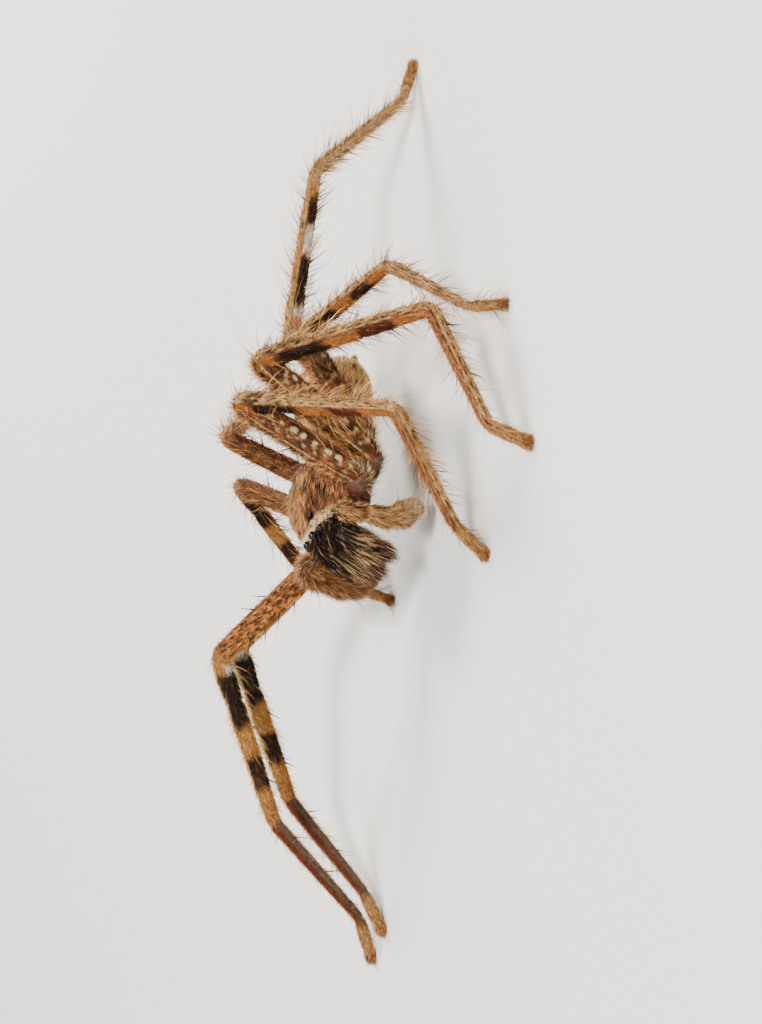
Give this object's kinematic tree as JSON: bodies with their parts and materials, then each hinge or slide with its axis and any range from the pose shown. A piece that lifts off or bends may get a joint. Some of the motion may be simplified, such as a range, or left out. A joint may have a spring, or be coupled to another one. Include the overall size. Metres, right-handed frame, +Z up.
{
  "type": "huntsman spider",
  "caption": "Life-size huntsman spider standing still, head a little raised, right front legs reaching far forward, left legs drawn in, with bristly jointed legs and dark eyes.",
  "frame": {"origin": "on the floor under the middle of the whole spider, legs included", "axes": "+X to the spider's front, +Y to its left, +Z up from the floor"},
  "size_m": [0.0754, 0.0664, 0.0222],
  "materials": {
    "shell": "satin brown shell under short hair",
    "leg": "satin tan and brown, haired",
    "belly": "beige velvet of short hair",
    "jaw": "dark brown, satin, long pale hair",
    "fang": "glossy near-black",
    "eye": "glossy black"
  },
  "bodies": {
    "root": {"prosoma": "shell", "abdomen": "belly", "spinnerets": "belly", "left_chelicera": "jaw", "left_fang": "fang", "left_palp": "leg", "left_front_middle_eye": "eye", "left_front_side_eye": "eye", "left_rear_middle_eye": "eye", "left_rear_side_eye": "eye", "left_leg_1_coxa": "leg", "left_leg_1_femur": "leg", "left_leg_1_tibia": "leg", "left_leg_1_metatarsus": "leg", "left_leg_1_tarsus": "leg", "left_leg_2_coxa": "leg", "left_leg_2_femur": "leg", "left_leg_2_tibia": "leg", "left_leg_2_metatarsus": "leg", "left_leg_2_tarsus": "leg", "left_leg_3_coxa": "leg", "left_leg_3_femur": "leg", "left_leg_3_tibia": "leg", "left_leg_3_metatarsus": "leg", "left_leg_3_tarsus": "leg", "left_leg_4_coxa": "leg", "left_leg_4_femur": "leg", "left_leg_4_tibia": "leg", "left_leg_4_metatarsus": "leg", "left_leg_4_tarsus": "leg", "right_chelicera": "jaw", "right_fang": "fang", "right_palp": "leg", "right_front_middle_eye": "eye", "right_front_side_eye": "eye", "right_rear_middle_eye": "eye", "right_rear_side_eye": "eye", "right_leg_1_coxa": "leg", "right_leg_1_femur": "leg", "right_leg_1_tibia": "leg", "right_leg_1_metatarsus": "leg", "right_leg_1_tarsus": "leg", "right_leg_2_coxa": "leg", "right_leg_2_femur": "leg", "right_leg_2_tibia": "leg", "right_leg_2_metatarsus": "leg", "right_leg_2_tarsus": "leg", "right_leg_3_coxa": "leg", "right_leg_3_femur": "leg", "right_leg_3_tibia": "leg", "right_leg_3_metatarsus": "leg", "right_leg_3_tarsus": "leg", "right_leg_4_coxa": "leg", "right_leg_4_femur": "leg", "right_leg_4_tibia": "leg", "right_leg_4_metatarsus": "leg", "right_leg_4_tarsus": "leg"}
  },
  "joints": []
}
